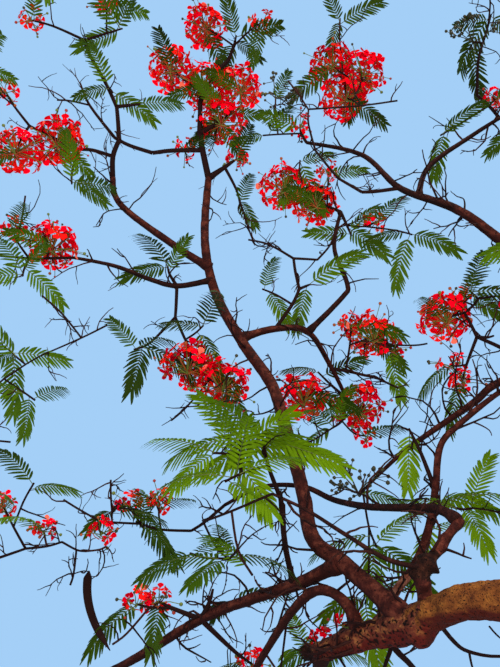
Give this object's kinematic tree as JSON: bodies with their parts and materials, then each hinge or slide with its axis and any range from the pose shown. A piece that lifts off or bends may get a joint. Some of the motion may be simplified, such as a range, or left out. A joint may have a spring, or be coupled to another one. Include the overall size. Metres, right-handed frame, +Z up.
{
  "type": "flame tree in bloom",
  "caption": "Rooted flame tree with a short leaning trunk, wide crooked boughs and an open umbrella crown of feathery leaves and scarlet flower heads.",
  "frame": {"origin": "middle of the flat cut under the trunk, at ground level", "axes": "+Z up; the long low bough of the pictured side leaves the trunk towards -X and a little +Y"},
  "size_m": [9.5552, 9.2851, 6.48],
  "materials": {
    "bark": "rough, pitted",
    "foliage": "matt"
  },
  "bodies": {
    "root": {"arched_foliage": "foliage", "arched_limb": "bark", "big_bloom_foliage": "foliage", "centre_cross_foliage": "foliage", "centre_foliage": "foliage", "centre_high_foliage": "foliage", "centre_high_limb": "bark", "centre_limb": "bark", "crown_top_west_foliage": "foliage", "east_bough": "bark", "east_foliage": "foliage", "east_high_foliage": "foliage", "east_high_limb": "bark", "east_low_foliage": "foliage", "east_low_limb": "bark", "front_limb": "bark", "high_bough": "bark", "high_left_foliage": "foliage", "high_right_foliage": "foliage", "high_right_limb": "bark", "inner_east_foliage": "foliage", "inner_north_foliage": "foliage", "inner_south_foliage": "foliage", "knob_cross_limb": "bark", "knob_limb": "bark", "left_edge_foliage": "foliage", "left_foliage": "foliage", "left_limb": "bark", "low_bloom_foliage": "foliage", "low_left_bloom_foliage": "foliage", "low_left_foliage": "foliage", "low_limb": "bark", "main_limb": "bark", "near_left_foliage": "foliage", "near_tuft_foliage": "foliage", "north_foliage": "foliage", "north_limb": "bark", "northeast_bough": "bark", "northeast_foliage": "foliage", "northwest_foliage": "foliage", "northwest_limb": "bark", "pale_limb": "bark", "right_ball_foliage": "foliage", "right_bloom_foliage": "foliage", "right_leaves_foliage": "foliage", "right_limb": "bark", "right_twigs_foliage": "foliage", "south_bough": "bark", "south_foliage": "foliage", "southeast_bough": "bark", "southeast_foliage": "foliage", "southwest_foliage": "foliage", "southwest_limb": "bark", "top_foliage": "foliage", "trunk": "bark", "under_left_foliage": "foliage", "upper_left_foliage": "foliage", "upper_left_limb": "bark", "upright_limb": "bark", "west_bough": "bark"}
  },
  "joints": []
}
